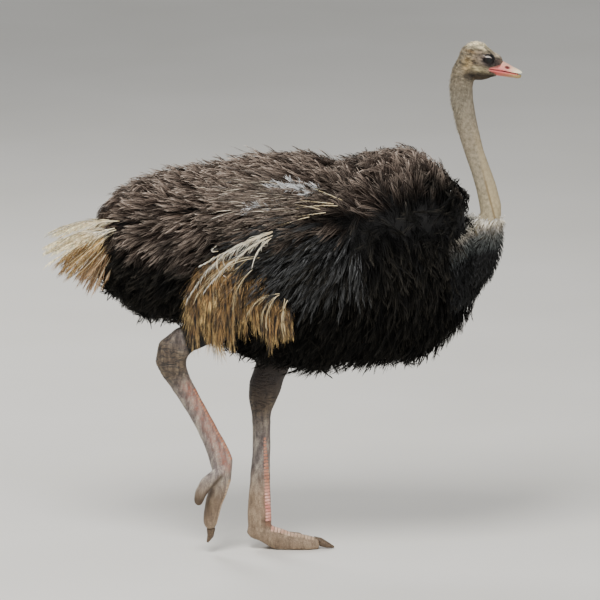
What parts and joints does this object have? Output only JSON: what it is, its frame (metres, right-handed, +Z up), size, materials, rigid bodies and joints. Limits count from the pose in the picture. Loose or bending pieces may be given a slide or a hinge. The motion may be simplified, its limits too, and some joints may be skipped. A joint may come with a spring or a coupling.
{
  "type": "ostrich",
  "caption": "Life-size male ostrich in mid stride, standing on its left foot with the right one lifted, with a full coat of dark plumage and pale wing and tail plumes.",
  "frame": {"origin": "on the floor, under the sole of the great toe of the standing left foot", "axes": "+X forward, the way the bird walks; +Y to the bird's left; +Z up"},
  "size_m": [1.7696, 0.6426, 1.9172],
  "materials": {
    "plumage_black": "soft matte feathers",
    "plumage_tan": "soft matte feathers",
    "neck_skin": "skin under short grey-brown down",
    "bill_horn": "satin horn, pink with a paler tip",
    "eye": "wet gloss",
    "leg_skin": "bare scaly skin",
    "claw_horn": "worn horn"
  },
  "bodies": {
    "root": {"trunk": "plumage_black", "tail": "plumage_tan", "neck_base": "neck_skin", "neck_lower": "neck_skin", "neck_upper": "neck_skin", "head": "neck_skin", "upper_bill": "bill_horn", "lower_bill": "bill_horn", "eye_left": "eye", "eye_right": "eye", "wing_left": "plumage_black", "wing_plumes_left": "plumage_tan", "thigh_left": "leg_skin", "shank_left": "leg_skin", "great_toe_left": "leg_skin", "small_toe_left": "leg_skin", "claw_left": "claw_horn", "wing_right": "plumage_black", "wing_plumes_right": "plumage_tan", "thigh_right": "leg_skin", "shank_right": "leg_skin", "great_toe_right": "leg_skin", "small_toe_right": "leg_skin", "claw_right": "claw_horn"}
  },
  "joints": []
}
